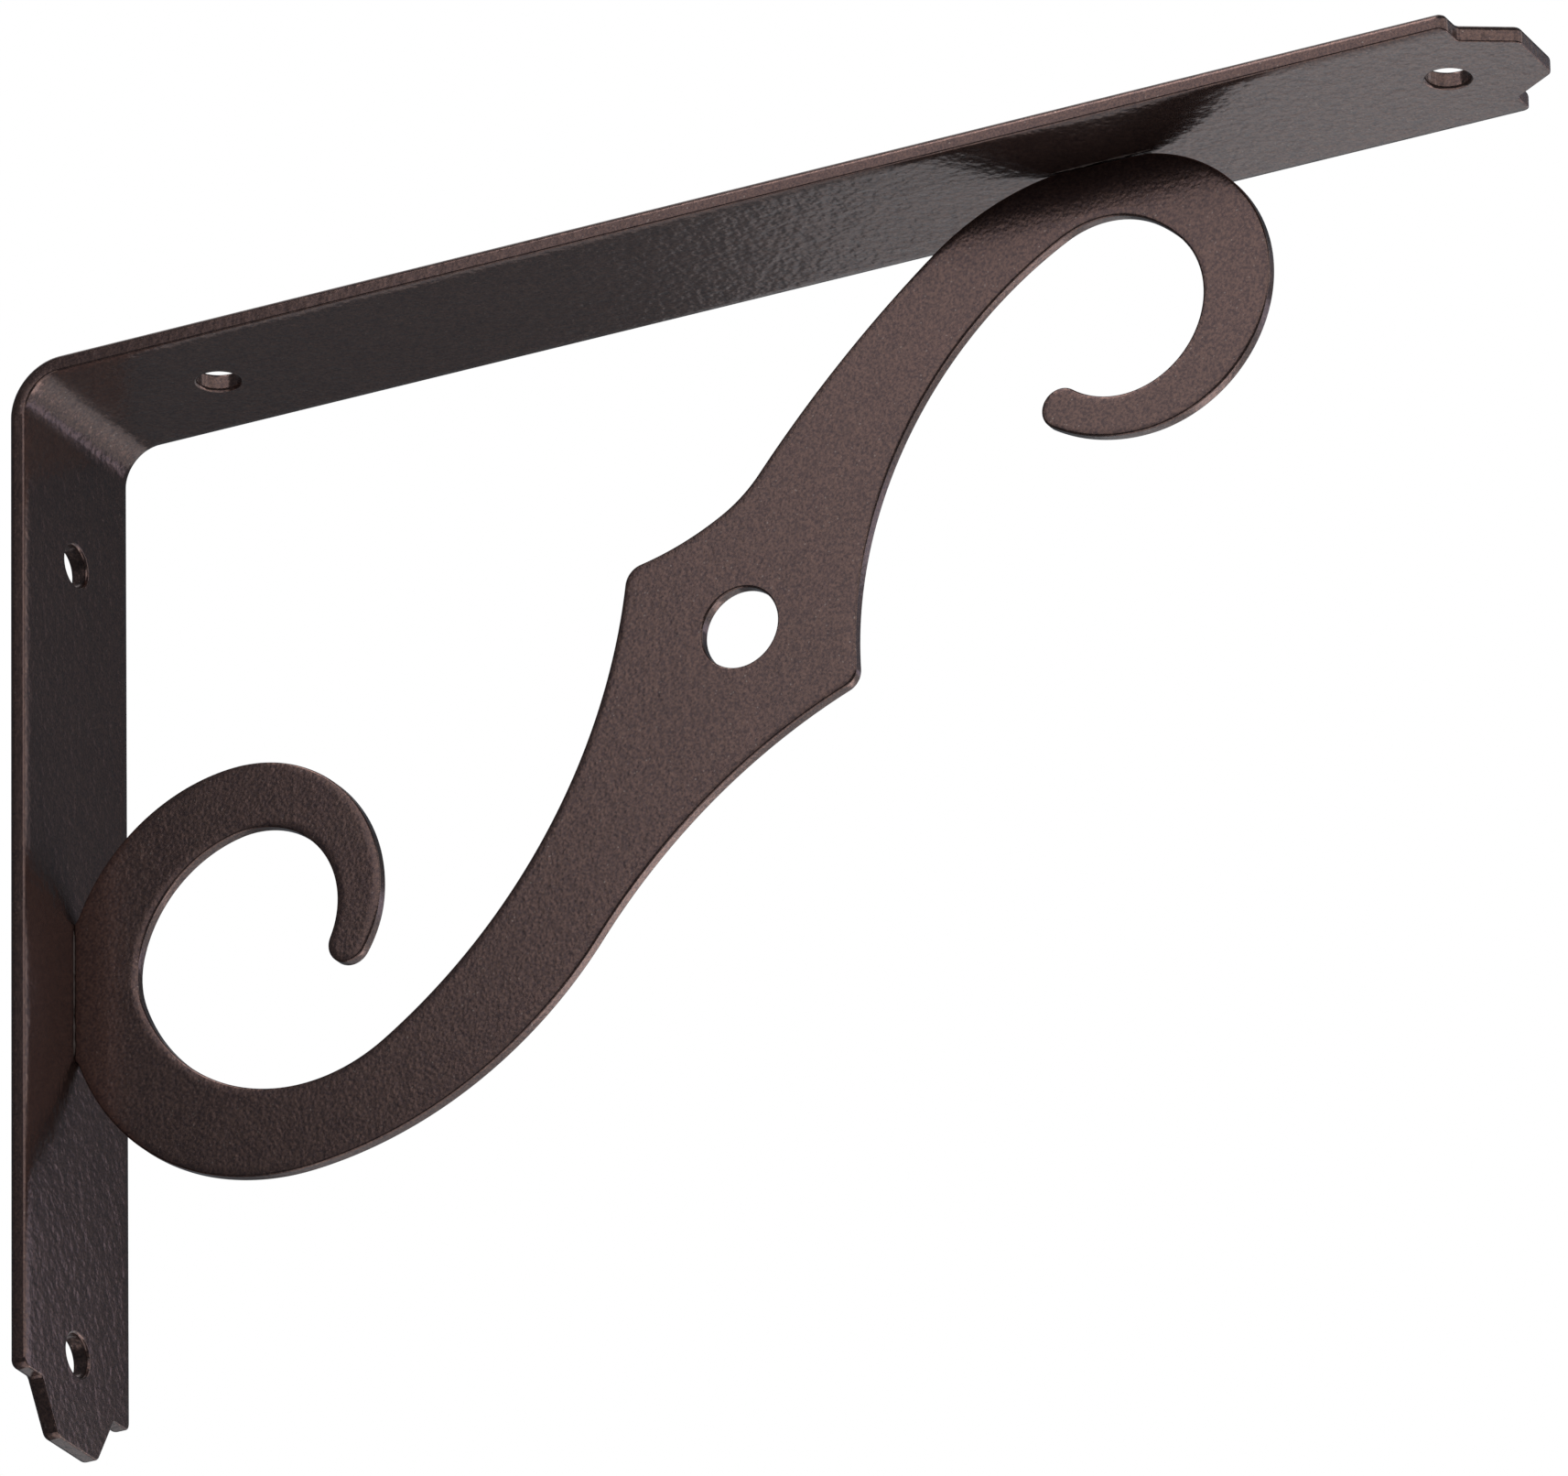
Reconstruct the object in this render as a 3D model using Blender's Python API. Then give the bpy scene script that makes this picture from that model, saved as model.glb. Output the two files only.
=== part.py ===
"""Ornamental bracket: a flat bar bent to a right angle, with a scroll plate standing in its corner."""

import math

import bmesh
import bpy
from mathutils import Matrix, Vector

MM = 0.001

# Flat bar, sizes along its outer faces
BAR_WIDTH = 30.0 * MM
BAR_THICKNESS = 2.8 * MM
SHELF_ARM = 241.5 * MM
WALL_ARM = 165.7 * MM
BEND_INSIDE = 5.6 * MM
BAR_EDGE = 1.0 * MM
BEND_CUTS = 12

# Cut at both ends of the bar: square shoulders, then slanted sides to a flat tip
CUT_LENGTH = 7.8 * MM
SHOULDER_WIDTH = 4.7 * MM
TIP_WIDTH = 11.2 * MM
SHOULDER_ROUNDING = 0.9 * MM
TIP_ROUNDING = 1.3 * MM

# Screw holes on the centre line of both arms
SCREW_HOLE = 6.4 * MM
HOLE_FROM_CORNER = 26.8 * MM
HOLE_FROM_TIP = 14.5 * MM
HOLE_SIDES = 28
DRILL_LENGTH = 20 * MM

# Scroll plate
PLATE_THICKNESS = 2.0 * MM
PLATE_EDGE = 0.35 * MM
JOINT_GAP = 0.3 * MM
PLATE_HOLE = 12.3 * MM
PLATE_HOLE_CENTRE = (112.5 * MM, -62.1 * MM)
PLATE_HOLE_SIDES = 40

# The scroll's two long edges, measured from the bar's outer corner, X out and Z up. Each starts at a point
# with a heading in degrees, and goes on in arcs that meet smoothly: radius in mm, and degrees of turn,
# anticlockwise where positive.
LOWER_START = (3.1, -105.6)
LOWER_HEADING = -71.7
LOWER_EDGE = (
    (36.0, 53.25),      # under the large volute
    (40.0, 23.0),
    (66.5, 47.5),
    (93.0, -31.25),     # hollow before the lozenge
    (3.0, 71.75),       # lower point of the lozenge
    (63.0, -65.75),
    (14.5, -61.25),     # inside of the small volute
    (23.0, -12.5),
    (13.3, -169.5),
    (3.1, 184.25),      # round end of the small volute
    (26.0, 33.75),
    (21.3, 120.75),     # outside of the small volute
    (23.5, 47.5),
)
UPPER_START = (3.1, -84.2)
UPPER_HEADING = 68.5
UPPER_EDGE = (
    (30.0, -63.65),     # outside of the large volute
    (23.0, -99.75),
    (18.0, -28.25),
    (3.1, -171.5),      # round end of the large volute
    (14.0, 125.75),     # inside of the large volute
    (20.5, 66.0),
    (14.0, 32.5),
    (27.0, 102.25),
    (87.0, 50.25),
    (3.2, -71.5),       # upper point of the lozenge
    (45.0, 18.0),
    (21.0, 21.75),
    (180.0, -12.75),    # rise to the shelf arm
    (40.0, -32.25),
)
ARC_STEP_DEGREES = 10.0
ARC_STEP_MM = 2.6

# The origin is on the back of the bar, half way between the two wall screws
CORNER_HEIGHT = (HOLE_FROM_CORNER + WALL_ARM - HOLE_FROM_TIP) / 2

BRONZE = (0.080, 0.056, 0.049, 1.0)
COAT_ROUGHNESS = 0.3
COAT_METALLIC = 0.55

ALONG_BLANK = (1.0, 0.0, 0.0)

# Limits for tidying the meshes
WELD_DISTANCE = 0.01 * MM
ON_CUT = 0.001 * MM
FLAT_ANGLE = math.radians(1)
SHARP_ANGLE = math.radians(40)


def clear_scene():
    """Remove whatever the file starts with."""
    for item in list(bpy.data.objects):
        bpy.data.objects.remove(item, do_unlink=True)


def make_collection(name):
    """New collection, linked to the scene."""
    collection = bpy.data.collections.new(name)
    bpy.context.scene.collection.children.link(collection)
    return collection


def coated_steel(name):
    """Bronze powder coat on steel."""
    material = bpy.data.materials.new(name)
    material.use_nodes = True
    shader = material.node_tree.nodes["Principled BSDF"]
    shader.inputs["Base Color"].default_value = BRONZE
    shader.inputs["Roughness"].default_value = COAT_ROUGHNESS
    shader.inputs["Metallic"].default_value = COAT_METALLIC
    material.diffuse_color = BRONZE
    return material


def circle(centre, radius, sides):
    """Points of a circle, clockwise, for a hole."""
    x, y = centre
    angles = [-2 * math.pi * k / sides for k in range(sides)]
    return [(x + radius * math.cos(a), y + radius * math.sin(a)) for a in angles]


def rounded_corners(corners, sides=4):
    """Closed outline through (x, y, rounding) corners, each corner replaced by a tangent arc."""
    points = []
    for k, (x, y, rounding) in enumerate(corners):
        here = Vector((x, y))
        if rounding == 0:
            points.append((x, y))
            continue
        before = (Vector(corners[k - 1][:2]) - here).normalized()
        after = (Vector(corners[(k + 1) % len(corners)][:2]) - here).normalized()
        half_angle = before.angle(after) / 2
        centre = here + (before + after).normalized() * rounding / math.sin(half_angle)
        first = here + before * rounding / math.tan(half_angle) - centre
        last = here + after * rounding / math.tan(half_angle) - centre
        for step in range(sides + 1):
            spoke = first.lerp(last, step / sides).normalized() * rounding
            points.append(tuple(centre + spoke))
    return points


def arc_walk(start, heading, arcs):
    """Points along a chain of arcs that meet smoothly, in metres."""
    x, y = start
    heading = math.radians(heading)
    points = [(x * MM, y * MM)]
    for radius, turn in arcs:
        side = math.copysign(1.0, turn)
        length = radius * math.radians(abs(turn))
        steps = math.ceil(max(abs(turn) / ARC_STEP_DEGREES, length / ARC_STEP_MM))
        centre_x = x - side * radius * math.sin(heading)
        centre_y = y + side * radius * math.cos(heading)
        for _ in range(steps):
            heading += math.radians(turn) / steps
            x = centre_x + side * radius * math.sin(heading)
            y = centre_y - side * radius * math.cos(heading)
            points.append((x * MM, y * MM))
    return points


def flat_plate(name, outlines, thickness, edge):
    """Flat curve filled on both sides, with rounded rims. The first outline is the outer one."""
    curve = bpy.data.curves.new(name, "CURVE")
    curve.dimensions = "2D"
    curve.fill_mode = "BOTH"
    curve.extrude = thickness / 2 - edge
    curve.bevel_depth = edge
    curve.bevel_resolution = 1
    curve.offset = -edge
    for outline in outlines:
        spline = curve.splines.new("POLY")
        spline.points.add(len(outline) - 1)
        for point, (x, y) in zip(spline.points, outline):
            point.co = (x, y, 0.0, 1.0)
        spline.use_cyclic_u = True
    return bpy.data.objects.new(name, curve)


def as_mesh(item, collection):
    """Replace a curve object by its mesh, welded."""
    collection.objects.link(item)
    bpy.context.view_layer.update()
    evaluated = item.evaluated_get(bpy.context.evaluated_depsgraph_get())
    mesh = bpy.data.meshes.new_from_object(evaluated)
    solid = bpy.data.objects.new(item.name, mesh)
    solid.matrix_world = item.matrix_world
    curve = item.data
    name = item.name
    bpy.data.objects.remove(item, do_unlink=True)
    bpy.data.curves.remove(curve)
    solid.name = name
    mesh.name = name
    collection.objects.link(solid)
    cage = bmesh.new()
    cage.from_mesh(mesh)
    bmesh.ops.remove_doubles(cage, verts=cage.verts, dist=WELD_DISTANCE)
    bmesh.ops.recalc_face_normals(cage, faces=cage.faces)
    cage.to_mesh(mesh)
    cage.free()
    return solid


def finish(item, material):
    """Give the piece its coat and smooth shading on the round rims."""
    item.data.materials.clear()
    item.data.materials.append(material)
    item.data.shade_smooth()
    item.data.set_sharp_from_angle(angle=SHARP_ANGLE)


def cut_end(tip, outward):
    """Corners of the cut end of an arm, in order of rising Y. The arm points along outward, +1 or -1."""
    shoulder = tip - outward * CUT_LENGTH
    side = BAR_WIDTH / 2
    notch = side - SHOULDER_WIDTH
    return [
        (shoulder, -side, SHOULDER_ROUNDING),
        (shoulder, -notch, 0),
        (tip, -TIP_WIDTH / 2, TIP_ROUNDING),
        (tip, TIP_WIDTH / 2, TIP_ROUNDING),
        (shoulder, notch, 0),
        (shoulder, side, SHOULDER_ROUNDING),
    ]


def make_bar(collection, cutters):
    """The bar is cut to its outline flat, along X, bent from the wall arm into the shelf arm, and drilled."""
    bend_outside = BEND_INSIDE + BAR_THICKNESS
    bend_middle = BEND_INSIDE + BAR_THICKNESS / 2
    bend_length = bend_middle * math.pi / 2
    # Flat length, with zero at the wall arm's end of the bend
    wall_tip = -(WALL_ARM - bend_outside)
    shelf_tip = bend_length + SHELF_ARM - bend_outside
    corners = cut_end(shelf_tip, 1) + list(reversed(cut_end(wall_tip, -1)))
    blank = flat_plate("bent_bar", [rounded_corners(corners)], BAR_THICKNESS, BAR_EDGE)
    bar = as_mesh(blank, collection)

    cage = bmesh.new()
    cage.from_mesh(bar.data)
    bmesh.ops.dissolve_limit(cage, angle_limit=FLAT_ANGLE, verts=cage.verts, edges=cage.edges)
    for cut in range(BEND_CUTS + 1):
        place = (bend_length * cut / BEND_CUTS, 0.0, 0.0)
        everything = cage.verts[:] + cage.edges[:] + cage.faces[:]
        bmesh.ops.bisect_plane(cage, geom=everything, dist=ON_CUT, plane_co=place, plane_no=ALONG_BLANK)
    for vert in cage.verts:
        along, across, out = vert.co
        angle = min(max(along, 0.0), bend_length) / bend_middle
        radius = bend_middle + out
        x = bend_outside - radius * math.cos(angle) + max(along - bend_length, 0.0)
        z = CORNER_HEIGHT - bend_outside + radius * math.sin(angle) + min(along, 0.0)
        vert.co = (x, across, z)
    bmesh.ops.recalc_face_normals(cage, faces=cage.faces)
    cage.to_mesh(bar.data)
    cage.free()
    drill(bar, cutters)
    finish(bar, coated_steel("bar_coat"))
    return bar


def drill(bar, cutters):
    """Take the screw holes out of both arms, two in each, with one cutter for each arm."""
    wall_holes = [(0.0, 0.0, CORNER_HEIGHT - down) for down in (HOLE_FROM_CORNER, WALL_ARM - HOLE_FROM_TIP)]
    shelf_holes = [(out, 0.0, CORNER_HEIGHT) for out in (HOLE_FROM_CORNER, SHELF_ARM - HOLE_FROM_TIP)]
    along_x = Matrix.Rotation(math.pi / 2, 4, "Y")
    along_z = Matrix.Identity(4)
    for name, places, turn in (("wall_drill", wall_holes, along_x), ("shelf_drill", shelf_holes, along_z)):
        cage = bmesh.new()
        for place in places:
            bmesh.ops.create_cone(
                cage,
                cap_ends=True,
                segments=HOLE_SIDES,
                radius1=SCREW_HOLE / 2,
                radius2=SCREW_HOLE / 2,
                depth=DRILL_LENGTH,
                matrix=Matrix.Translation(place) @ turn,
            )
        mesh = bpy.data.meshes.new(name)
        cage.to_mesh(mesh)
        cage.free()
        cutter = bpy.data.objects.new(name, mesh)
        cutter.hide_render = True
        cutter.display_type = "WIRE"
        cutters.objects.link(cutter)
        hole = bar.modifiers.new(name, "BOOLEAN")
        hole.operation = "DIFFERENCE"
        hole.solver = "EXACT"
        hole.object = cutter


def make_scroll(collection):
    """The scroll is one flat plate in the middle of the bar's width, ground flat where it meets both arms."""
    lower = arc_walk(LOWER_START, LOWER_HEADING, LOWER_EDGE)
    upper = arc_walk(UPPER_START, UPPER_HEADING, UPPER_EDGE)
    ground = BAR_THICKNESS + JOINT_GAP
    outline = [(max(x, ground), min(z, -ground)) for x, z in lower + upper[::-1]]
    hole = circle(PLATE_HOLE_CENTRE, PLATE_HOLE / 2, PLATE_HOLE_SIDES)
    plate = flat_plate("scroll_plate", [outline, hole], PLATE_THICKNESS, PLATE_EDGE)
    plate.rotation_euler.x = math.pi / 2
    plate.location.z = CORNER_HEIGHT
    scroll = as_mesh(plate, collection)
    finish(scroll, coated_steel("scroll_coat"))
    return scroll


def main():
    clear_scene()
    collection = make_collection("ornamental_bracket")
    make_bar(collection, make_collection("cutters"))
    make_scroll(collection)


main()
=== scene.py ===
"""Looks of an ornamental shelf bracket: a flat bar bent to a right angle, with a scroll plate in its corner.

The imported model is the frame. The bar and the scroll are built again here with rolled edges, rounded hole
rims and a hammered bronze coat, and stand exactly where the plain solids stand.
"""

import math

import bmesh
import bpy
from mathutils import Matrix, Vector, noise


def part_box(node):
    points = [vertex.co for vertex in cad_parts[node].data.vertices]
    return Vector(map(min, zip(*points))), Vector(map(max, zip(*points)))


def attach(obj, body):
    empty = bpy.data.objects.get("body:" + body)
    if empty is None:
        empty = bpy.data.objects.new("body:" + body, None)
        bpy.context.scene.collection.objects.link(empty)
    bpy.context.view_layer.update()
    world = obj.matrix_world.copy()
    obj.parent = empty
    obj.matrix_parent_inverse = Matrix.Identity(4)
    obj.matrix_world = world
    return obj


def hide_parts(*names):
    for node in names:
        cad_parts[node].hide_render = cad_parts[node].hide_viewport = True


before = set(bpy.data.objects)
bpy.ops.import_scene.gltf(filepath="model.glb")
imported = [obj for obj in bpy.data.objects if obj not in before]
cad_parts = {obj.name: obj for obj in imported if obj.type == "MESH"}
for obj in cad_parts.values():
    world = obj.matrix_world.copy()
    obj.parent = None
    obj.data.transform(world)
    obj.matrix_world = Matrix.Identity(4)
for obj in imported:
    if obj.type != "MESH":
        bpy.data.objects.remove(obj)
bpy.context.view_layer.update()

bl_info = {
    "name": "Ornamental shelf bracket",
    "version": (1, 0, 0),
    "blender": (4, 5, 0),
    "location": "View3D > Sidebar > Bracket",
    "description": "Builds a bent flat-bar shelf bracket with a scroll plate, in hammered bronze coat",
    "category": "Object",
}

MM = 0.001
BAR_LOW, BAR_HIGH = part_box("bent_bar")
SCROLL_LOW, SCROLL_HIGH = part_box("scroll_plate")

# The scroll's two long edges, measured from the bar's outer corner, X out and Z up. Each starts at a point
# in mm with a heading in degrees, and goes on in arcs that meet smoothly: radius in mm, and degrees of turn,
# anticlockwise where positive.
LOWER_START = (3.1, -105.6)
LOWER_HEADING = -71.7
LOWER_EDGE = (
    (36.0, 53.25),      # under the large volute
    (40.0, 23.0),
    (66.5, 47.5),
    (93.0, -31.25),     # hollow before the lozenge
    (3.0, 71.75),       # lower point of the lozenge
    (63.0, -65.75),
    (14.5, -61.25),     # inside of the small volute
    (23.0, -12.5),
    (13.3, -169.5),
    (3.1, 184.25),      # round end of the small volute
    (26.0, 33.75),
    (21.3, 120.75),     # outside of the small volute
    (23.5, 47.5),
)
UPPER_START = (3.1, -84.2)
UPPER_HEADING = 68.5
UPPER_EDGE = (
    (30.0, -63.65),     # outside of the large volute
    (23.0, -99.75),
    (18.0, -28.25),
    (3.1, -171.5),      # round end of the large volute
    (14.0, 125.75),     # inside of the large volute
    (20.5, 66.0),
    (14.0, 32.5),
    (27.0, 102.25),
    (87.0, 50.25),
    (3.2, -71.5),       # upper point of the lozenge
    (45.0, 18.0),
    (21.0, 21.75),
    (180.0, -12.75),    # rise to the shelf arm
    (40.0, -32.25),
)

# Strips in which the scroll's faces fall off towards the edge: share of the whole fall, and width
FALL_STRIPS = ((0.55, 0.35 * MM), (0.30, 0.35 * MM), (0.15, 0.40 * MM))

# Patterns in the coat that are the same on every piece, in repeats per metre
DUST_SCALE = 2800.0
# Size of the light specks of flake and dust colour, which also stand in as painted glints
FLAKE_AND_GLINT_SCALE = 5200.0
PATCH_SCALE = 90.0

WHITE = (1.0, 1.0, 1.0)
EVEN = (1.0, 1.0, 1.04)
COOL = (0.91, 1.0, 1.05)
WARM = (1.0, 0.94, 0.93)
VIOLET = (0.92, 0.94, 1.15)

# Panels behind the bracket that face it: depth, left, right, low and high edge in metres, brightness and
# tint. Each has a depth of its own, because two area lights in one plane don't add up where they overlap.
PANELS_BEHIND = (
    ("behind", 0.300, -0.036, 0.60, -0.525, 0.035, 0.64, COOL),
    ("behind_high", 0.303, 0.222, 0.60, 0.035, 0.122, 1.10, VIOLET),
    ("behind_wall", 0.312, 0.237, 0.36, 0.123, 0.27, 0.20, VIOLET),
    ("behind_arm", 0.297, 0.038, 0.115, -0.19, -0.03, 0.26, COOL),
    ("behind_right", 0.294, 0.20, 0.60, -0.525, -0.12, 1.9, WARM),
    ("behind_tip", 0.306, 0.392, 0.60, 0.17, 0.40, 0.60, WARM),
    ("behind_left", 0.291, -0.22, -0.035, -0.525, -0.18, 0.66, COOL),
    ("behind_dim", 0.309, -0.40, -0.036, -0.18, 0.10, 0.055, COOL),
)
# Panels before the bracket, in the plane that the scroll's face mirrors to the camera: left, right, low and
# high edge in metres from the middle of that plane, brightness and tint
PANELS_BEFORE = (
    ("front_low", -0.03, 0.40, -0.30, -0.09, 0.43, EVEN),
    ("front", -0.046, 0.40, -0.09, 0.205, 1.03, EVEN),
    ("above_left", -0.075, 0.10, 0.205, 0.855, 4.2, WARM),
    ("above_right", 0.10, 0.40, 0.205, 0.855, 1.0, WARM),
)
PANELS_BEFORE_DISTANCE = 0.7
# Lamps round the right side: angle from the X axis in degrees, and brightness
SIDE_LAMPS = (("right_front", -60, 1.2), ("right", -14, 0.9), ("right_back", 24, 0.8))
SIDE_DISTANCE = 0.8
SIDE_RISE = 0.45
SIDE_WIDTH = 0.58
SIDE_HEIGHT = 0.5
TOP_WIDTH = 0.9


# Sizes and colours

class BarSizes(bpy.types.PropertyGroup):
    """Sizes of the bent bar."""

    width: bpy.props.FloatProperty(
        name="Width", description="Width of the flat bar", default=BAR_HIGH.y - BAR_LOW.y, unit="LENGTH"
    )
    thickness: bpy.props.FloatProperty(
        name="Thickness", description="Thickness of the flat bar", default=2.8 * MM, unit="LENGTH"
    )
    shelf_arm: bpy.props.FloatProperty(
        name="Shelf arm",
        description="Length of the arm under the shelf",
        default=BAR_HIGH.x - BAR_LOW.x,
        unit="LENGTH",
    )
    wall_arm: bpy.props.FloatProperty(
        name="Wall arm",
        description="Length of the arm on the wall",
        default=BAR_HIGH.z - BAR_LOW.z,
        unit="LENGTH",
    )
    corner_height: bpy.props.FloatProperty(
        name="Corner height",
        description="Height of the shelf arm's top over the origin",
        default=BAR_HIGH.z,
        unit="LENGTH",
    )
    bend_inside: bpy.props.FloatProperty(
        name="Bend", description="Inside radius of the bend", default=5.6 * MM, unit="LENGTH"
    )
    bend_cuts: bpy.props.IntProperty(
        name="Bend cuts", description="Strips that the bend is made of", default=36
    )
    outer_roll: bpy.props.FloatProperty(
        name="Outer edge",
        description="Rounding of the edges on the outer face",
        default=1.1 * MM,
        unit="LENGTH",
    )
    inner_edge: bpy.props.FloatProperty(
        name="Inner edge",
        description="Rounding of the edges on the inner face",
        default=0.25 * MM,
        unit="LENGTH",
    )
    roll_width: bpy.props.FloatProperty(
        name="Roll width",
        description="How far in from the long edges the inner face falls off",
        default=2.2 * MM,
        unit="LENGTH",
    )
    roll_depth: bpy.props.FloatProperty(
        name="Roll depth",
        description="How deep the inner face falls off at the long edges",
        default=0.2 * MM,
        unit="LENGTH",
    )
    roll_strips: bpy.props.IntProperty(
        name="Roll strips", description="Strips that the fall is made of", default=8
    )
    skew: bpy.props.FloatProperty(
        name="Skew",
        description="How far out of square the shelf arm's end is cut",
        default=math.radians(2.4),
        unit="ROTATION",
    )
    cut_length: bpy.props.FloatProperty(
        name="Tip length",
        description="From the shoulders to the tip of an arm",
        default=7.8 * MM,
        unit="LENGTH",
    )
    shoulder: bpy.props.FloatProperty(
        name="Shoulder", description="Width of each square shoulder", default=4.7 * MM, unit="LENGTH"
    )
    tip_width: bpy.props.FloatProperty(
        name="Tip width", description="Width of the flat tip", default=11.2 * MM, unit="LENGTH"
    )
    shoulder_rounding: bpy.props.FloatProperty(
        name="Shoulder rounding",
        description="Rounding of the shoulder's corner",
        default=1.4 * MM,
        unit="LENGTH",
    )
    notch_rounding: bpy.props.FloatProperty(
        name="Notch rounding",
        description="Rounding of the inside corner at a shoulder",
        default=0.7 * MM,
        unit="LENGTH",
    )
    tip_rounding: bpy.props.FloatProperty(
        name="Tip rounding", description="Rounding of the tip's corners", default=1.5 * MM, unit="LENGTH"
    )
    screw_hole: bpy.props.FloatProperty(
        name="Screw hole", description="Width of the screw holes", default=6.4 * MM, unit="LENGTH"
    )
    hole_rim: bpy.props.FloatProperty(
        name="Hole rim", description="Rounding of the screw holes' rims", default=0.5 * MM, unit="LENGTH"
    )
    hole_from_corner: bpy.props.FloatProperty(
        name="Hole to corner",
        description="From the bar's outer corner to the near hole",
        default=26.8 * MM,
        unit="LENGTH",
    )
    hole_from_tip: bpy.props.FloatProperty(
        name="Hole to tip",
        description="From the tip of an arm to its far hole",
        default=14.5 * MM,
        unit="LENGTH",
    )


class ScrollSizes(bpy.types.PropertyGroup):
    """Sizes of the scroll plate and of its joints with the bar."""

    thickness: bpy.props.FloatProperty(
        name="Thickness",
        description="Thickness of the plate",
        default=SCROLL_HIGH.y - SCROLL_LOW.y,
        unit="LENGTH",
    )
    edge: bpy.props.FloatProperty(
        name="Edge", description="Rounding of the plate's edges", default=0.35 * MM, unit="LENGTH"
    )
    fall: bpy.props.FloatProperty(
        name="Edge fall",
        description="How far the plate's faces fall off at the edges",
        default=0.06 * MM,
        unit="LENGTH",
    )
    hole: bpy.props.FloatProperty(
        name="Hole", description="Width of the round hole", default=12.3 * MM, unit="LENGTH"
    )
    hole_out: bpy.props.FloatProperty(
        name="Hole out",
        description="From the bar's outer corner out to the hole",
        default=112.5 * MM,
        unit="LENGTH",
    )
    hole_down: bpy.props.FloatProperty(
        name="Hole down",
        description="From the bar's outer corner down to the hole",
        default=62.1 * MM,
        unit="LENGTH",
    )
    step: bpy.props.FloatProperty(
        name="Step", description="Longest step along an arc", default=0.9 * MM, unit="LENGTH"
    )
    let_in: bpy.props.FloatProperty(
        name="Let in",
        description="How far the plate goes into both arms, as the weld does",
        default=0.02 * MM,
        unit="LENGTH",
    )
    bead: bpy.props.FloatProperty(
        name="Joint bead",
        description="Radius of the bead of paint along the joints",
        default=0.13 * MM,
        unit="LENGTH",
    )
    wall_joint: bpy.props.FloatVectorProperty(
        name="Wall joint",
        description="From the shelf arm's top down to both ends of the joint on the wall arm",
        default=(85.2 * MM, 105.0 * MM),
        size=2,
        unit="LENGTH",
    )
    shelf_joint: bpy.props.FloatVectorProperty(
        name="Shelf joint",
        description="From the wall arm's back out to both ends of the joint on the shelf arm",
        default=(164.3 * MM, 180.2 * MM),
        size=2,
        unit="LENGTH",
    )


class CoatLook(bpy.types.PropertyGroup):
    """Colours and grain of the bronze powder coat."""

    bronze: bpy.props.FloatVectorProperty(
        name="Bronze",
        description="Colour of the light speckles of the coat",
        default=(0.147, 0.085, 0.068),
        subtype="COLOR",
        size=3,
    )
    deep: bpy.props.FloatVectorProperty(
        name="Deep bronze",
        description="Colour of the dark speckles of the coat",
        default=(0.058, 0.035, 0.035),
        subtype="COLOR",
        size=3,
    )
    # Colour of the light specks: metal flake and dust, which also stand in as painted glints
    flake_and_glint: bpy.props.FloatVectorProperty(
        name="Flake",
        description="Colour of the metal flakes",
        default=(0.21, 0.16, 0.14),
        subtype="COLOR",
        size=3,
    )
    gloss: bpy.props.FloatProperty(
        name="Roughness", description="Roughness of the coat", default=0.225, min=0.0, max=1.0
    )
    gloss_spread: bpy.props.FloatProperty(
        name="Roughness spread",
        description="How much the roughness changes from patch to patch",
        default=0.06,
        min=0.0,
        max=1.0,
    )
    bar_grain: bpy.props.FloatProperty(
        name="Bar grain",
        description="Width of the bumps in the bar's coat",
        default=1.1 * MM,
        unit="LENGTH",
    )
    bar_depth: bpy.props.FloatProperty(
        name="Bar depth",
        description="Height of the bumps in the bar's coat",
        default=0.1 * MM,
        unit="LENGTH",
    )
    scroll_grain: bpy.props.FloatProperty(
        name="Scroll grain",
        description="Width of the bumps in the scroll's coat",
        default=0.62 * MM,
        unit="LENGTH",
    )
    scroll_depth: bpy.props.FloatProperty(
        name="Scroll depth",
        description="Height of the bumps in the scroll's coat",
        default=0.031 * MM,
        unit="LENGTH",
    )


class StageSizes(bpy.types.PropertyGroup):
    """Camera, floor and room."""

    azimuth: bpy.props.FloatProperty(
        name="Azimuth",
        description="Camera's angle round the bracket",
        default=math.radians(27.6991),
        unit="ROTATION",
    )
    elevation: bpy.props.FloatProperty(
        name="Elevation",
        description="Camera's angle over the level",
        default=math.radians(-24.1143),
        unit="ROTATION",
    )
    roll: bpy.props.FloatProperty(
        name="Roll", description="Camera's roll", default=math.radians(-1.0553), unit="ROTATION"
    )
    distance: bpy.props.FloatProperty(
        name="Distance", description="From the camera to its target", default=2.83818, unit="LENGTH"
    )
    target: bpy.props.FloatVectorProperty(
        name="Target",
        description="Where the camera looks",
        default=(0.08352, 0.06735, 0.04253),
        subtype="TRANSLATION",
        size=3,
    )
    lens: bpy.props.FloatProperty(
        name="Lens", description="Focal length on a 36 mm sensor", default=444.53, unit="CAMERA"
    )
    floor_depth: bpy.props.FloatProperty(
        name="Floor depth", description="Depth of the floor under the origin", default=4.6, unit="LENGTH"
    )
    room_tint: bpy.props.FloatVectorProperty(
        name="Room tint",
        description="Tint of the light that comes from the room",
        default=(0.83, 0.98, 1.12),
        subtype="COLOR",
        size=3,
    )
    room_light: bpy.props.FloatProperty(
        name="Room light", description="Strength of the light that comes from the room", default=0.103
    )


# Shader maths

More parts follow.
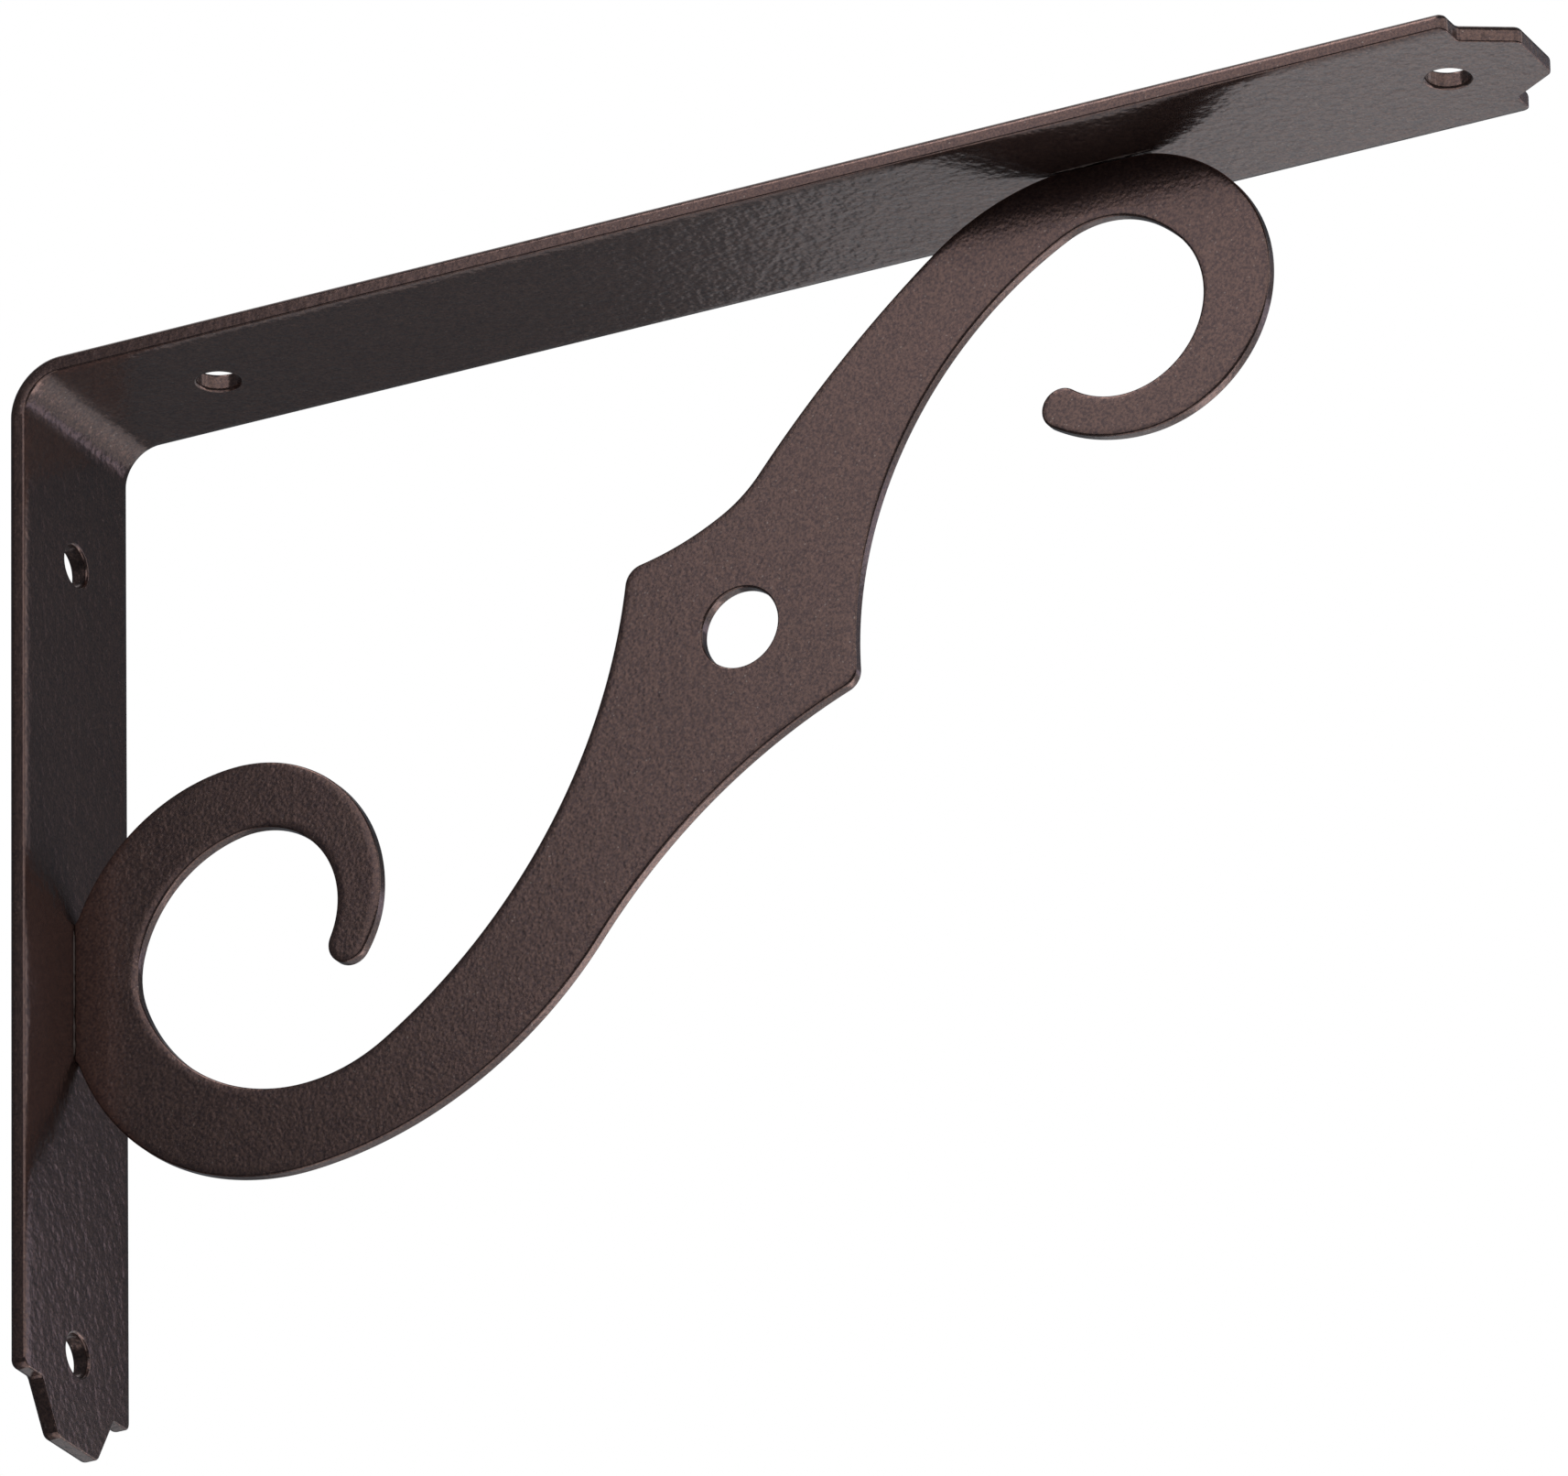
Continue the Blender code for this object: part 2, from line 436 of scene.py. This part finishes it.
class Wire:
    """One output of a shader node. Arithmetic on it adds Math nodes."""

    def __init__(self, tree, socket):
        self.tree = tree
        self.socket = socket

    def node(self, kind, settings, values, output=0):
        """Add a node: its settings first, then the values or wires of its sockets."""
        made = self.tree.nodes.new(kind)
        for name, value in settings.items():
            setattr(made, name, value)
        for name, value in values.items():
            if isinstance(value, Wire):
                self.tree.links.new(value.socket, made.inputs[name])
            else:
                made.inputs[name].default_value = value
        return Wire(self.tree, made.outputs[output])

    def maths(self, operation, *values):
        return self.node("ShaderNodeMath", {"operation": operation}, dict(enumerate(values)))

    def __add__(self, other):
        return self.maths("ADD", self, other)

    __radd__ = __add__

    def __sub__(self, other):
        return self.maths("SUBTRACT", self, other)

    def __rsub__(self, other):
        return self.maths("SUBTRACT", other, self)

    def __mul__(self, other):
        return self.maths("MULTIPLY", self, other)

    __rmul__ = __mul__

    def __abs__(self):
        return self.maths("ABSOLUTE", self)

    def ramp(self, low, high):
        """0 below low, 1 above high."""
        return self.node("ShaderNodeMapRange", {}, {"Value": self, "From Min": low, "From Max": high})

    def between(self, first, second):
        """Colour that goes from first to second as this value goes from 0 to 1."""
        colours = {}
        for socket, colour in ((6, first), (7, second)):
            colours[socket] = colour if isinstance(colour, Wire) else (*colour, 1.0)
        return self.node("ShaderNodeMix", {"data_type": "RGBA"}, {0: self, **colours}, output=2)


def bronze_coat(name, shift, grain, depth):
    """Semi-gloss bronze powder coat: rounded bumps, fine dark and light speckles, and a few light specks of
    metal flake and dust colour that also serve as painted glints.
    """
    look = bpy.context.scene.bracket_coat
    side = bpy.context.scene.bracket_bar.width / 2
    material = bpy.data.materials.new(name)
    material.use_nodes = True
    tree = material.node_tree
    shader = tree.nodes["Principled BSDF"]
    spot = Wire(tree, None).node("ShaderNodeTexCoord", {}, {}, output=3)
    across = spot.node("ShaderNodeSeparateXYZ", {}, {"Vector": spot}, output=1)
    # Paint lies smoother on the long edges of the bar
    on_edge = abs(across).ramp(side - 1.2 * MM, side - 0.1 * MM)
    calm = 1 - on_edge * 0.65
    spot = spot.node("ShaderNodeMapping", {}, {"Vector": spot, "Location": shift})

    bumps = spot.node(
        "ShaderNodeTexNoise", {}, {"Vector": spot, "Scale": 1 / grain, "Detail": 1.0, "Roughness": 0.4}
    )
    swell = spot.node("ShaderNodeTexNoise", {}, {"Vector": spot, "Scale": 0.3 / grain, "Detail": 1.0})
    patches = spot.node("ShaderNodeTexNoise", {}, {"Vector": spot, "Scale": PATCH_SCALE, "Detail": 2.0})
    flake_and_glint_cells = spot.node("ShaderNodeTexVoronoi", {}, {"Vector": spot, "Scale": FLAKE_AND_GLINT_SCALE}, output=1)
    chance = spot.node("ShaderNodeSeparateColor", {}, {"Color": flake_and_glint_cells})
    dust = spot.node("ShaderNodeTexNoise", {}, {"Vector": spot, "Scale": DUST_SCALE, "Detail": 1.5})

    speckles = dust.ramp(0.34, 0.66)
    tops = bumps.ramp(0.32, 0.68)
    mottle = speckles * 0.8 + tops * 0.2
    base = mottle.between(look.deep, look.bronze)
    # Fewer than one speck in a hundred shows: light flake and dust colour, which is also a painted glint
    painted_glint_and_flake_mask = chance.ramp(0.993, 0.998)
    colour = painted_glint_and_flake_mask.between(base, look.flake_and_glint)
    # Noise swings about one half
    height = (bumps - 0.5 + (swell - 0.5) * 0.8) * calm
    relief = spot.node("ShaderNodeBump", {}, {"Strength": 1.0, "Distance": depth, "Height": height})
    roughness = look.gloss + (patches - 0.5) * look.gloss_spread

    tree.links.new(colour.socket, shader.inputs["Base Color"])
    tree.links.new(roughness.socket, shader.inputs["Roughness"])
    tree.links.new(relief.socket, shader.inputs["Normal"])
    shader.inputs["Metallic"].default_value = 0.8
    shader.inputs["Coat Weight"].default_value = 0.15
    shader.inputs["Coat Roughness"].default_value = 0.22
    shader.inputs["Specular IOR Level"].default_value = 1.0
    return material


# Shapes

def mesh_object(name, cage):
    """Make an object of a finished mesh."""
    mesh = bpy.data.meshes.new(name)
    cage.to_mesh(mesh)
    cage.free()
    made = bpy.data.objects.new(name, mesh)
    bpy.context.scene.collection.objects.link(made)
    return made


def new_piece(name, cage, node):
    """Finish a mesh as a piece of the bracket, which may stand for one of the frame's solids."""
    piece = mesh_object(name, cage)
    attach(piece, "root")
    if node:
        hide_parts(node)
    return piece


def smooth(piece):
    """Smooth shading that keeps the large faces flat."""
    piece.data.shade_smooth()
    piece.data.set_sharp_from_angle(angle=math.radians(30))
    flat = piece.modifiers.new("flat faces", "WEIGHTED_NORMAL")
    flat.keep_sharp = True


def face_from_corners(cage, corners):
    """One face in the plane Z = 0 through (x, y, rounding) corners, each rounded."""
    verts = [cage.verts.new((x, y, 0.0)) for x, y, rounding in corners]
    cage.faces.new(verts)
    for vert, (x, y, rounding) in zip(verts, corners):
        if rounding == 0:
            continue
        before, after = [(edge.other_vert(vert).co - vert.co) for edge in vert.link_edges]
        half_angle = before.angle(after) / 2
        bmesh.ops.bevel(
            cage,
            geom=[vert],
            offset=rounding / math.tan(half_angle),
            offset_type="OFFSET",
            segments=8,
            profile=0.5,
            affect="VERTICES",
            clamp_overlap=False,
            material=-1,
        )
    return cage.faces[:]


def thicken(cage, faces, by):
    """Give flat faces a thickness along the vector by."""
    raised = bmesh.ops.extrude_face_region(cage, geom=faces)["geom"]
    verts = [item for item in raised if isinstance(item, bmesh.types.BMVert)]
    bmesh.ops.translate(cage, verts=verts, vec=by)
    bmesh.ops.recalc_face_normals(cage, faces=cage.faces)


def round_rim(cage, edges, radius, segments):
    """Round the edges of a plate."""
    bmesh.ops.bevel(
        cage,
        geom=edges,
        offset=radius,
        offset_type="OFFSET",
        segments=segments,
        profile=0.5,
        affect="EDGES",
        clamp_overlap=False,
        loop_slide=False,
        material=-1,
    )


def cut_across(cage, place, facing, clear=False):
    """Cut a mesh by a plane, and clear what lies before the plane if asked."""
    bmesh.ops.bisect_plane(
        cage,
        geom=cage.verts[:] + cage.edges[:] + cage.faces[:],
        dist=0.001 * MM,
        plane_co=place,
        plane_no=facing,
        clear_outer=clear,
    )


def hole_cutter(name, width, rim, thickness, place, turn):
    """Cutter for a hole through a plate, flared at both faces so that its rims come out round."""
    cage = bmesh.new()
    reach = math.radians(82)
    rim_steps = 8
    lead_out = 0.15 * MM
    depth = thickness / 2 - rim * math.sin(reach)
    outline = []
    for step in range(rim_steps + 1):
        angle = reach * step / rim_steps
        outline.append((width / 2 + rim * (1 - math.cos(angle)), depth + rim * math.sin(angle)))
    # Goes on in the rim's last direction, then straight out
    beyond = outline[-1][0] + math.tan(reach) * lead_out
    outline.append((beyond, outline[-1][1] + lead_out))
    outline.append((beyond, thickness + 2 * MM))
    profile = [(0.0, -outline[-1][1])] + [(radius, -height) for radius, height in reversed(outline)] + outline
    profile.append((0.0, outline[-1][1]))
    verts = [cage.verts.new((radius, 0.0, height)) for radius, height in profile]
    edges = [cage.edges.new(pair) for pair in zip(verts, verts[1:])]
    bmesh.ops.spin(
        cage,
        geom=verts + edges,
        cent=(0.0, 0.0, 0.0),
        axis=(0.0, 0.0, 1.0),
        angle=math.tau,
        steps=72,
        use_merge=True,
        use_duplicate=False,
    )
    bmesh.ops.remove_doubles(cage, verts=cage.verts, dist=0.001 * MM)
    bmesh.ops.recalc_face_normals(cage, faces=cage.faces)
    bmesh.ops.transform(cage, matrix=Matrix.Translation(place) @ turn, verts=cage.verts)
    return mesh_object(name, cage)


def drill(piece, cutters):
    """Take the cutters out of a piece, and remove them."""
    for cutter in cutters:
        hole = piece.modifiers.new(cutter.name, "BOOLEAN")
        hole.operation = "DIFFERENCE"
        hole.solver = "EXACT"
        hole.object = cutter
    bpy.context.view_layer.update()
    evaluated = piece.evaluated_get(bpy.context.evaluated_depsgraph_get())
    drilled = bpy.data.meshes.new_from_object(evaluated)
    piece.modifiers.clear()
    plain = piece.data
    name = plain.name
    piece.data = drilled
    bpy.data.meshes.remove(plain)
    drilled.name = name
    for cutter in cutters:
        mesh = cutter.data
        bpy.data.objects.remove(cutter, do_unlink=True)
        bpy.data.meshes.remove(mesh)


def coat_and_smooth(piece, coat):
    """Give a drilled piece its coat and its smooth shading."""
    piece.data.materials.clear()
    piece.data.materials.append(coat)
    smooth(piece)


class BRACKET_OT_bar(bpy.types.Operator):
    """Builds the bent flat bar with its cut ends and screw holes"""

    bl_idname = "bracket.bar"
    bl_label = "Bent bar"

    def execute(self, context):
        size = context.scene.bracket_bar
        bend_outside = size.bend_inside + size.thickness
        bend_middle = size.bend_inside + size.thickness / 2
        bend_length = bend_middle * math.pi / 2
        # Flat length, with zero at the wall arm's end of the bend
        wall_tip = -(size.wall_arm - bend_outside)
        shelf_tip = bend_length + size.shelf_arm - bend_outside

        cage = bmesh.new()
        self.cut_flat_bar(cage, size, wall_tip, shelf_tip)
        self.roll_edges(cage, size)
        for vert in cage.verts:
            if vert.co.x > bend_length:
                share = (vert.co.x - bend_length) / (shelf_tip - bend_length)
                # Only the last tenth of the arm leans over to the slanted cut
                lean = max(0.0, 10 * share - 9)
                vert.co.x -= math.tan(size.skew) * (vert.co.y + size.width / 2) * lean
        for cut in range(size.bend_cuts + 1):
            cut_across(cage, (bend_length * cut / size.bend_cuts, 0.0, 0.0), (1.0, 0.0, 0.0))
        for vert in cage.verts:
            along, across, out = vert.co
            angle = min(max(along, 0.0), bend_length) / bend_middle
            radius = bend_middle + out
            x = bend_outside - radius * math.cos(angle) + max(along - bend_length, 0.0)
            z = size.corner_height - bend_outside + radius * math.sin(angle) + min(along, 0.0)
            vert.co = (x, across, z)
        bmesh.ops.recalc_face_normals(cage, faces=cage.faces)
        bar = new_piece("bar", cage, "bent_bar")

        drill(bar, self.hole_cutters(size))
        look = context.scene.bracket_coat
        coat_and_smooth(bar, bronze_coat("bar_coat", (0.0, 0.0, 0.0), look.bar_grain, look.bar_depth))
        return {"FINISHED"}

    def cut_flat_bar(self, cage, size, wall_tip, shelf_tip):
        """The bar before it is bent, along X, with its inner face down."""
        side = size.width / 2
        notch = side - size.shoulder
        corners = []
        for tip, outward in ((shelf_tip, 1), (wall_tip, -1)):
            shoulder = tip - outward * size.cut_length
            end = [
                (shoulder, -side, size.shoulder_rounding),
                (shoulder, -notch, size.notch_rounding),
                (tip, -size.tip_width / 2, size.tip_rounding),
                (tip, size.tip_width / 2, size.tip_rounding),
                (shoulder, notch, size.notch_rounding),
                (shoulder, side, size.shoulder_rounding),
            ]
            corners += end if outward > 0 else end[::-1]
        thicken(cage, face_from_corners(cage, corners), (0.0, 0.0, size.thickness))
        bmesh.ops.translate(cage, verts=cage.verts, vec=(0.0, 0.0, -size.thickness / 2))
        nearly_half = size.thickness * 0.49
        for level, radius, segments in ((1, size.outer_roll, 8), (-1, size.inner_edge, 5)):
            rim = [
                edge for edge in cage.edges
                if all(vert.co.z * level > nearly_half for vert in edge.verts)
            ]
            round_rim(cage, rim, radius, segments)

    def roll_edges(self, cage, size):
        """Let the inner face fall off towards both long edges."""
        side = size.width / 2
        for strip in range(1, size.roll_strips + 1):
            inwards = size.roll_width * strip / size.roll_strips
            for place in (side - inwards, inwards - side):
                cut_across(cage, (0.0, place, 0.0), (0.0, 1.0, 0.0))
        for vert in cage.verts:
            near = max(0.0, 1 - (side - abs(vert.co.y)) / size.roll_width)
            if vert.co.z < 0:
                vert.co.z *= 1 - 2 * size.roll_depth / size.thickness * near ** 3

    def hole_cutters(self, size):
        """Cutters for the two holes in the wall arm and the two in the shelf arm."""
        sideways = Matrix.Rotation(math.pi / 2, 4, "Y")
        upright = Matrix.Identity(4)
        middle = size.thickness / 2
        top = size.corner_height
        holes = []
        for down in (size.hole_from_corner, size.wall_arm - size.hole_from_tip):
            holes.append(("wall_hole", (middle, 0.0, top - down), sideways))
        for out in (size.hole_from_corner, size.shelf_arm - size.hole_from_tip):
            holes.append(("shelf_hole", (out, 0.0, top - middle), upright))
        return [
            hole_cutter(name, size.screw_hole, size.hole_rim, size.thickness, place, turn)
            for name, place, turn in holes
        ]


def walk_arcs(cage, start, heading, arcs, step):
    """Edges along a chain of arcs in the plane Y = 0, from a start in mm. Returns both ends."""
    top = bpy.context.scene.bracket_bar.corner_height
    most_turn = math.radians(5)
    x, z = start[0] * MM, start[1] * MM + top
    heading = math.radians(heading)
    first = last = cage.verts.new((x, 0.0, z))
    for radius, turn in arcs:
        radius *= MM
        side = math.copysign(1.0, turn)
        turn = math.radians(turn)
        centre = (x - side * radius * math.sin(heading), 0.0, z + side * radius * math.cos(heading))
        steps = math.ceil(max(abs(turn) / most_turn, radius * abs(turn) / step))
        made = bmesh.ops.spin(
            cage,
            geom=[last],
            cent=centre,
            axis=(0.0, -1.0, 0.0),
            angle=turn,
            steps=steps,
            use_duplicate=False,
        )
        last = [item for item in made["geom_last"] if isinstance(item, bmesh.types.BMVert)][0]
        heading += turn
        x, z = last.co.x, last.co.z
    return first, last


class BRACKET_OT_scroll(bpy.types.Operator):
    """Builds the scroll plate with its volutes, its lozenge and its round hole"""

    bl_idname = "bracket.scroll"
    bl_label = "Scroll plate"

    def execute(self, context):
        size = context.scene.bracket_scroll
        bar = context.scene.bracket_bar
        cage = bmesh.new()
        lower_first, lower_last = walk_arcs(cage, LOWER_START, LOWER_HEADING, LOWER_EDGE, size.step)
        upper_first, upper_last = walk_arcs(cage, UPPER_START, UPPER_HEADING, UPPER_EDGE, size.step)
        cage.edges.new((lower_first, upper_first))
        cage.edges.new((lower_last, upper_last))
        made = bmesh.ops.contextual_create(cage, geom=cage.edges[:])
        if not made["faces"]:
            raise RuntimeError("the scroll's outline made no face")
        # Ground flat against the arm over it, and let in to both arms by a hair
        ground = bar.thickness - size.let_in
        cut_across(cage, (0.0, 0.0, bar.corner_height - ground), (0.0, 0.0, 1.0), clear=True)
        for vert in (lower_first, upper_first):
            vert.co.x = ground
        bmesh.ops.translate(cage, verts=cage.verts, vec=(0.0, -size.thickness / 2, 0.0))
        thicken(cage, cage.faces[:], (0.0, size.thickness, 0.0))
        rim = [
            edge for edge in cage.edges
            if abs(edge.verts[0].co.y - edge.verts[1].co.y) < size.thickness / 2
        ]
        round_rim(cage, rim, size.edge, 5)
        flats = [face for face in cage.faces if abs(face.normal.y) > 0.999 and len(face.verts) > 4]
        for share, width in FALL_STRIPS:
            bmesh.ops.inset_region(
                cage, faces=flats, thickness=width, depth=share * size.fall, use_even_offset=True
            )
        # The strips raised both faces, so the plate is brought back to its thickness
        for vert in cage.verts:
            vert.co.y *= size.thickness / (size.thickness + 2 * size.fall)
        bmesh.ops.recalc_face_normals(cage, faces=cage.faces)
        scroll = new_piece("scroll", cage, "scroll_plate")

        place = (size.hole_out, 0.0, bar.corner_height - size.hole_down)
        across = Matrix.Rotation(math.pi / 2, 4, "X")
        drill(scroll, [hole_cutter("plate_hole", size.hole, size.edge, size.thickness, place, across)])
        look = context.scene.bracket_coat
        # Shifted, so that the two pieces don't show the same pattern
        shift = (0.013, 0.029, 0.007)
        coat_and_smooth(scroll, bronze_coat("scroll_coat", shift, look.scroll_grain, look.scroll_depth))
        return {"FINISHED"}


def lumpy_bead(cage, start, end, radius):
    """Bead of paint along a straight joint, thicker and thinner, that tapers off at both ends."""
    along = end - start
    longest_step = 0.3 * MM
    steps = math.ceil(along.length / longest_step)
    turn = along.to_track_quat("Z", "X").to_matrix().to_4x4()
    thinnest = 0.3
    size = thinnest * radius
    ring = bmesh.ops.create_circle(
        cage, cap_ends=True, radius=size, segments=10, matrix=Matrix.Translation(start) @ turn
    )["verts"]
    edges = list({edge for vert in ring for edge in vert.link_edges})
    centre = start
    for step in range(1, steps + 1):
        share = step / steps
        raised = bmesh.ops.extrude_edge_only(cage, edges=edges)["geom"]
        ring = [item for item in raised if isinstance(item, bmesh.types.BMVert)]
        edges = [
            item for item in raised
            if isinstance(item, bmesh.types.BMEdge) and set(item.verts) <= set(ring)
        ]
        large_lumps = 1.2 * noise.noise(centre * 850)
        small_lumps = 0.7 * noise.noise(centre * 2100)
        lump = max(thinnest, 1 + large_lumps + small_lumps)
        taper = min(1.0, thinnest + 9 * share, thinnest + 9 * (1 - share))
        grown = radius * lump * taper
        bmesh.ops.scale(cage, verts=ring, vec=[grown / size] * 3, space=Matrix.Translation(-centre))
        bmesh.ops.translate(cage, verts=ring, vec=along / steps)
        centre = centre + along / steps
        size = grown
    bmesh.ops.holes_fill(cage, edges=edges)


class BRACKET_OT_joints(bpy.types.Operator):
    """Builds the lumpy beads of paint along the joints of the scroll and the bar"""

    bl_idname = "bracket.joints"
    bl_label = "Painted joints"

    def execute(self, context):
        size = context.scene.bracket_scroll
        bar = context.scene.bracket_bar
        top = bar.corner_height
        inner = bar.thickness
        side = size.thickness / 2
        cage = bmesh.new()
        for y in (-side, side):
            wall = [Vector((inner, y, top - down)) for down in size.wall_joint]
            shelf = [Vector((out, y, top - inner)) for out in size.shelf_joint]
            for start, end in (wall, shelf):
                lumpy_bead(cage, start, end, size.bead)
        bmesh.ops.recalc_face_normals(cage, faces=cage.faces)
        beads = new_piece("joint_paint", cage, None)
        beads.data.shade_smooth()
        beads.data.materials.append(bpy.data.materials["scroll_coat"])
        return {"FINISHED"}


def white_to_camera(tree, shader, output, kind, grey):
    """The camera sees plain paper, and the bracket is lit by the shader."""
    lit = Wire(tree, shader.outputs[0])
    plain = lit.node(kind, {}, {"Color": (grey, grey, grey, 1.0)})
    ray = lit.node("ShaderNodeLightPath", {}, {})
    seen = lit.node("ShaderNodeMixShader", {}, {0: ray, 1: lit, 2: plain})
    tree.links.new(seen.socket, output.inputs[0])


def add_light(name, place, target, width, height, brightness, tint=WHITE):
    """Soft rectangular light that the camera doesn't see. Brightness 1 reflects as white."""
    data = bpy.data.lights.new(name, "AREA")
    data.shape = "RECTANGLE"
    data.size = width
    data.size_y = height
    data.energy = brightness * math.pi * width * height
    data.color = tint
    lamp = bpy.data.objects.new(name, data)
    lamp.location = place
    lamp.rotation_euler = (Vector(target) - Vector(place)).to_track_quat("-Z", "Y").to_euler()
    lamp.visible_camera = False
    bpy.context.scene.collection.objects.link(lamp)


class BRACKET_OT_stage(bpy.types.Operator):
    """Sets up the floor, the camera and the soft lights"""

    bl_idname = "bracket.stage"
    bl_label = "Stage"

    def execute(self, context):
        stage = context.scene.bracket_stage
        context.scene.view_settings.view_transform = "Standard"
        self.lay_floor(stage)
        self.place_camera(context.scene, stage)
        self.light_room(context.scene, stage)
        self.hang_lights(stage)
        return {"FINISHED"}

    def lay_floor(self, stage):
        """Pale paper far under the bracket, because the camera looks up from below."""
        cage = bmesh.new()
        bmesh.ops.create_grid(cage, x_segments=1, y_segments=1, size=20.0)
        floor = mesh_object("floor", cage)
        floor.location.z = -stage.floor_depth
        paper = bpy.data.materials.new("pale_floor")
        paper.use_nodes = True
        tree = paper.node_tree
        matt = tree.nodes["Principled BSDF"]
        matt.inputs["Base Color"].default_value = (0.8, 0.8, 0.8, 1.0)
        matt.inputs["Roughness"].default_value = 0.9
        white_to_camera(tree, matt, tree.nodes["Material Output"], "ShaderNodeEmission", 0.86)
        floor.data.materials.append(paper)

    def place_camera(self, scene, stage):
        """Camera at the photograph's viewing angle."""
        tilt = math.pi / 2 - stage.elevation
        turn = Matrix.Rotation(stage.azimuth, 4, "Z") @ Matrix.Rotation(tilt, 4, "X")
        data = bpy.data.cameras.new("camera")
        data.lens = stage.lens
        data.sensor_width = 36.0
        data.clip_start = 0.05
        data.clip_end = 60.0
        camera = bpy.data.objects.new("camera", data)
        camera.matrix_world = (
            Matrix.Translation(stage.target)
            @ turn
            @ Matrix.Translation((0.0, 0.0, stage.distance))
            @ Matrix.Rotation(stage.roll, 4, "Z")
        )
        scene.collection.objects.link(camera)
        scene.camera = camera

    def light_room(self, scene, stage):
        """Faint light from all sides."""
        world = bpy.data.worlds.new("studio")
        world.use_nodes = True
        tree = world.node_tree
        room = tree.nodes["Background"]
        room.inputs["Color"].default_value = (*stage.room_tint, 1.0)
        room.inputs["Strength"].default_value = stage.room_light
        white_to_camera(tree, room, tree.nodes["World Output"], "ShaderNodeBackground", 1.0)
        scene.world = world

    def hang_lights(self, stage):
        """Panels and lamps that the coat reflects."""
        for name, depth, left, right, low, high, brightness, tint in PANELS_BEHIND:
            place = Vector(((left + right) / 2, depth, (low + high) / 2))
            ahead = place - Vector((0.0, 1.0, 0.0))
            add_light(name, place, ahead, right - left, high - low, brightness, tint)

        middle = Vector((0.10, 0.0, 0.03))
        flat = math.cos(stage.elevation)
        sideways = Vector((math.cos(stage.azimuth), -math.sin(stage.azimuth), 0.0))
        # Where the scroll's face mirrors the camera's line of sight
        mirrored = Vector((
            -flat * math.sin(stage.azimuth),
            -flat * math.cos(stage.azimuth),
            -math.sin(stage.elevation),
        ))
        up = mirrored.cross(sideways)
        plane = middle + mirrored * PANELS_BEFORE_DISTANCE
        for name, left, right, low, high, brightness, tint in PANELS_BEFORE:
            place = plane + sideways * (left + right) / 2 + up * (low + high) / 2
            add_light(name, place, place - mirrored, right - left, high - low, brightness, tint)

        for name, angle, brightness in SIDE_LAMPS:
            angle = math.radians(angle)
            toward = Vector((math.cos(angle), math.sin(angle), SIDE_RISE)).normalized()
            add_light(name, middle + toward * SIDE_DISTANCE, middle, SIDE_WIDTH, SIDE_HEIGHT, brightness)
        add_light("top", middle + Vector((-0.3, 0.35, 0.9)), middle, TOP_WIDTH, TOP_WIDTH, 0.6)
        # Light from under the bracket, as from a white table
        under = Vector((0.12, -0.03, -0.45))
        add_light("table", under, under + Vector((0.0, 0.0, 1.0)), 0.64, 0.66, 1.0)


class BRACKET_PT_panel(bpy.types.Panel):
    """Lists the bracket's pieces and their sizes"""

    bl_idname = "BRACKET_PT_panel"
    bl_label = "Ornamental bracket"
    bl_space_type = "VIEW_3D"
    bl_region_type = "UI"
    bl_category = "Bracket"

    def draw(self, context):
        for group, operators in PANEL_ROWS:
            sizes = getattr(context.scene, group)
            box = self.layout.box()
            for name in sizes.__annotations__:
                box.prop(sizes, name)
            for operator in operators:
                box.operator(operator)


PANEL_ROWS = (
    ("bracket_coat", ()),
    ("bracket_bar", ("bracket.bar",)),
    ("bracket_scroll", ("bracket.scroll", "bracket.joints")),
    ("bracket_stage", ("bracket.stage",)),
)
GROUPS = {
    "bracket_bar": BarSizes,
    "bracket_scroll": ScrollSizes,
    "bracket_coat": CoatLook,
    "bracket_stage": StageSizes,
}
OPERATORS = (BRACKET_OT_bar, BRACKET_OT_scroll, BRACKET_OT_joints, BRACKET_OT_stage)


def register():
    for name, group in GROUPS.items():
        bpy.utils.register_class(group)
        setattr(bpy.types.Scene, name, bpy.props.PointerProperty(type=group))
    for operator in OPERATORS:
        bpy.utils.register_class(operator)
    bpy.utils.register_class(BRACKET_PT_panel)


def unregister():
    bpy.utils.unregister_class(BRACKET_PT_panel)
    for operator in OPERATORS:
        bpy.utils.unregister_class(operator)
    for name, group in GROUPS.items():
        delattr(bpy.types.Scene, name)
        bpy.utils.unregister_class(group)


def main():
    register()
    bpy.ops.bracket.bar()
    bpy.ops.bracket.scroll()
    bpy.ops.bracket.joints()
    bpy.ops.bracket.stage()


if __name__ == "__main__":
    main()
